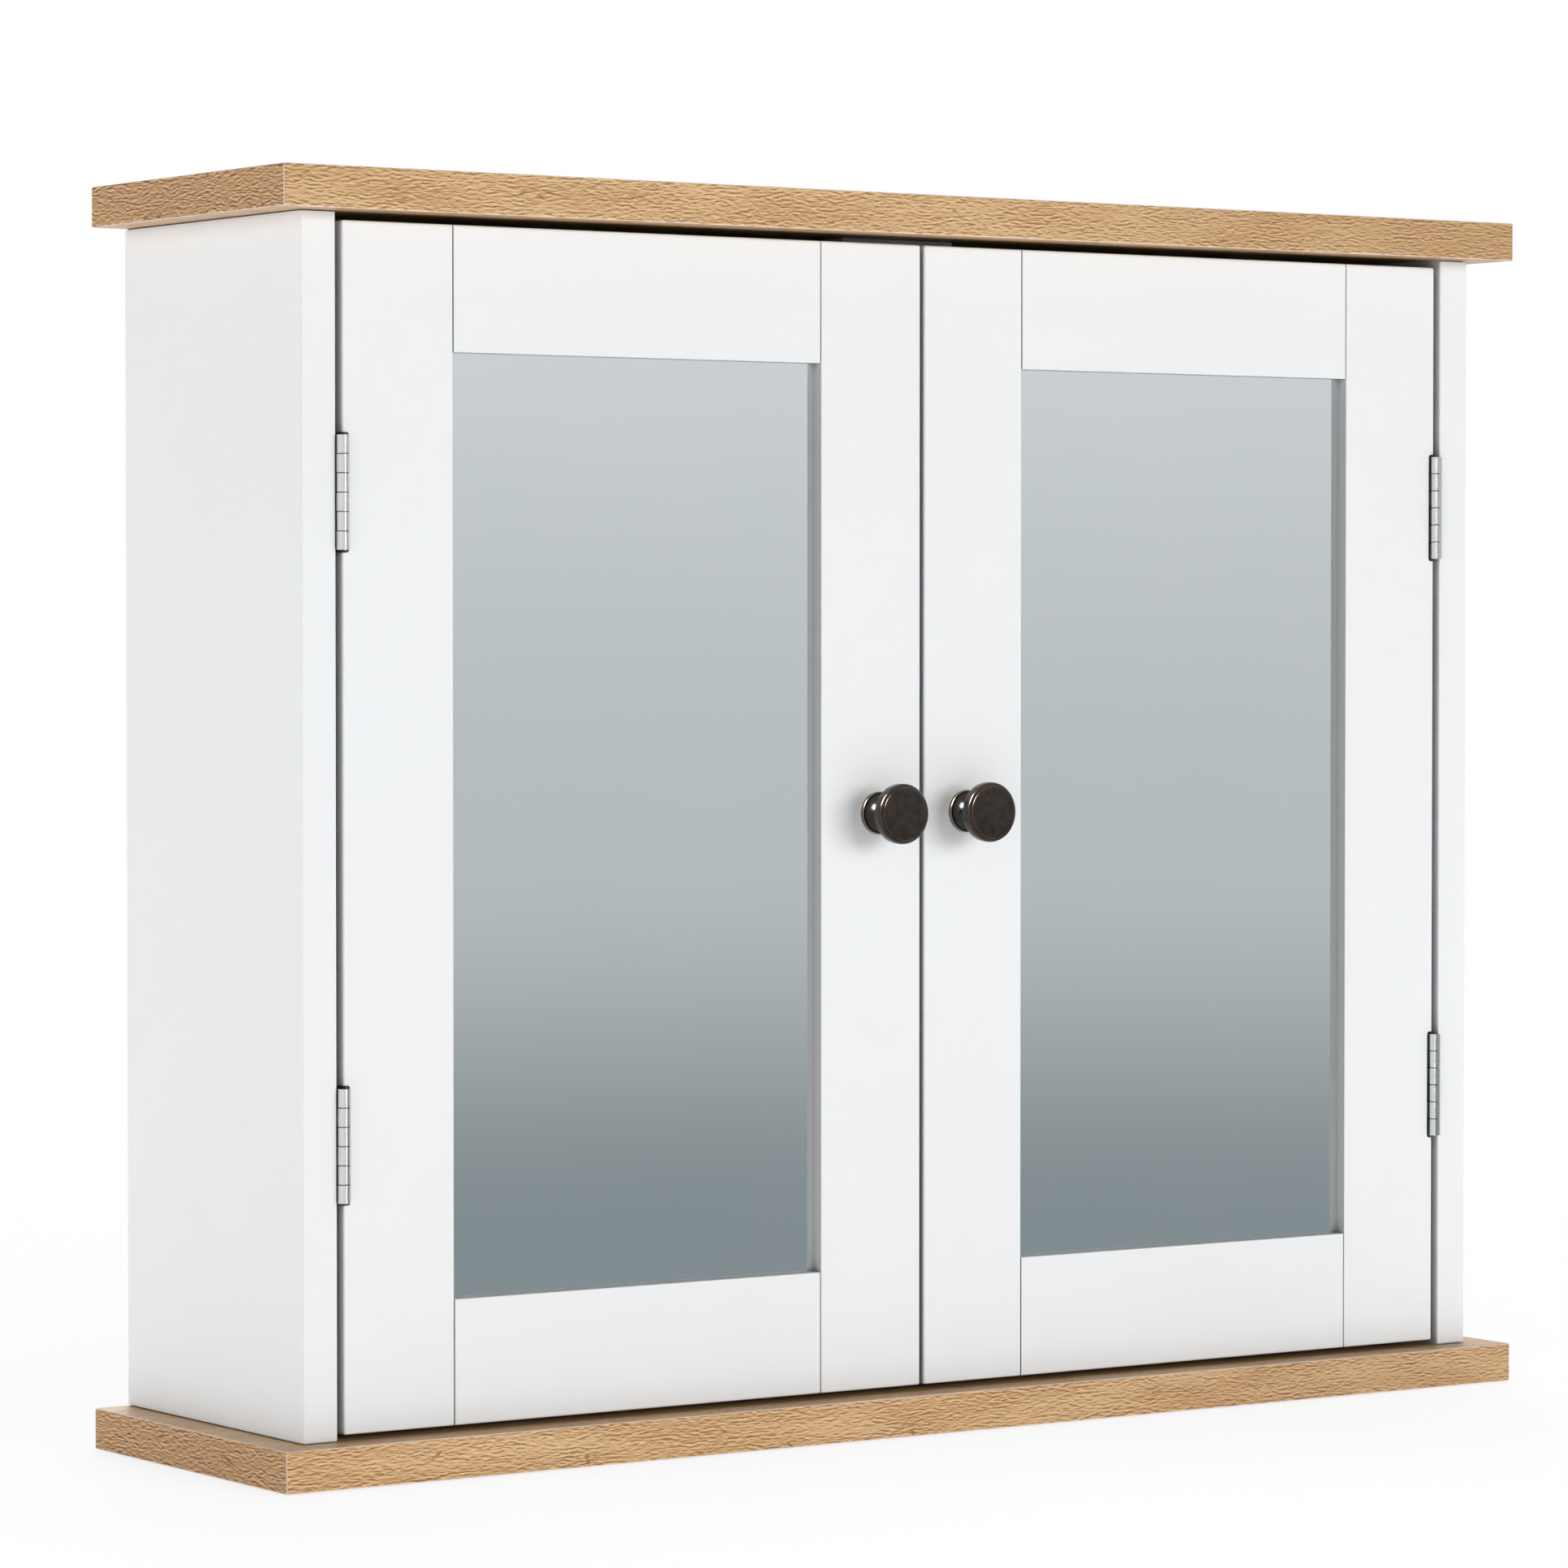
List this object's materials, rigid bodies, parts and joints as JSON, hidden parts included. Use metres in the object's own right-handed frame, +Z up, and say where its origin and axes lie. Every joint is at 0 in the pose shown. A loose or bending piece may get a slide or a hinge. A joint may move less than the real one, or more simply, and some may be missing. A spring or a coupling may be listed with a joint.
{
  "type": "mirror cabinet",
  "caption": "Shallow white wall cabinet with framed mirror doors on butt hinges, turned knobs, a loose shelf and overhanging oak-effect boards above and below.",
  "frame": {"origin": "middle of the rear face, on the wall, at half the cabinet's height", "axes": "+X to the right of someone facing the doors, +Y into the wall, +Z up"},
  "size_m": [0.6, 0.1581, 0.4946],
  "materials": {
    "oak_effect": "oak-effect foil on board, satin, fine grain along the length",
    "white_paint": "satin white paint on board with eased edges",
    "hardboard": "thin hardboard, white on the face that shows and bare brown on the other",
    "beech": "bare fluted beech",
    "mirror_glass": "silvered float glass",
    "hinge_steel": "nickel-plated steel, satin",
    "zinc_steel": "bright zinc plate",
    "dark_bronze": "dark antique bronze, worn to brass along the rims",
    "catch_plastic": "white moulded plastic",
    "ferrite": "pressed ferrite"
  },
  "bodies": {
    "case": {"top_board": "oak_effect", "bottom_board": "oak_effect", "left_side_panel": "white_paint", "right_side_panel": "white_paint", "back_panel": "hardboard", "back_panel_screws": "zinc_steel", "hanging_rail": "white_paint", "hanging_rail_dowels": "beech", "corner_dowels": "beech", "cam_discs": "zinc_steel", "cam_bolts": "zinc_steel", "shelf_pins": "zinc_steel", "catch_housing": "catch_plastic", "catch_magnets": "ferrite", "catch_pole_plates": "zinc_steel", "catch_screws": "zinc_steel", "frame_leaf_screws": "hinge_steel", "left_upper_frame_leaf": "hinge_steel", "left_upper_hinge_pin": "hinge_steel", "left_lower_frame_leaf": "hinge_steel", "left_lower_hinge_pin": "hinge_steel", "right_upper_frame_leaf": "hinge_steel", "right_upper_hinge_pin": "hinge_steel", "right_lower_frame_leaf": "hinge_steel", "right_lower_hinge_pin": "hinge_steel"},
    "shelf": {"shelf": "white_paint"},
    "left_door": {"left_hinge_stile": "white_paint", "left_meeting_stile": "white_paint", "left_top_rail": "white_paint", "left_bottom_rail": "white_paint", "left_mirror": "mirror_glass", "left_mirror_backing": "hardboard", "left_knob": "dark_bronze", "left_knob_screw": "zinc_steel", "left_strike_plate": "zinc_steel", "left_strike_screw": "zinc_steel", "left_door_leaf_screws": "hinge_steel", "left_upper_door_leaf": "hinge_steel", "left_lower_door_leaf": "hinge_steel"},
    "right_door": {"right_hinge_stile": "white_paint", "right_meeting_stile": "white_paint", "right_top_rail": "white_paint", "right_bottom_rail": "white_paint", "right_mirror": "mirror_glass", "right_mirror_backing": "hardboard", "right_knob": "dark_bronze", "right_knob_screw": "zinc_steel", "right_strike_plate": "zinc_steel", "right_strike_screw": "zinc_steel", "right_door_leaf_screws": "hinge_steel", "right_upper_door_leaf": "hinge_steel", "right_lower_door_leaf": "hinge_steel"}
  },
  "joints": [
    {"name": "left_door_swing", "type": "hinge", "parent": "case", "child": "left_door", "pos_m": [-0.268, -0.1398, 0], "axis": [0, 0, -1], "range_deg": [0, 180]},
    {"name": "right_door_swing", "type": "hinge", "parent": "case", "child": "right_door", "pos_m": [0.268, -0.1398, 0], "axis": [0, 0, 1], "range_deg": [0, 180]},
    {"name": "shelf_lift", "type": "slide", "parent": "case", "child": "shelf", "axis": [0, 0, 1], "range_m": [0, 0.012]}
  ]
}
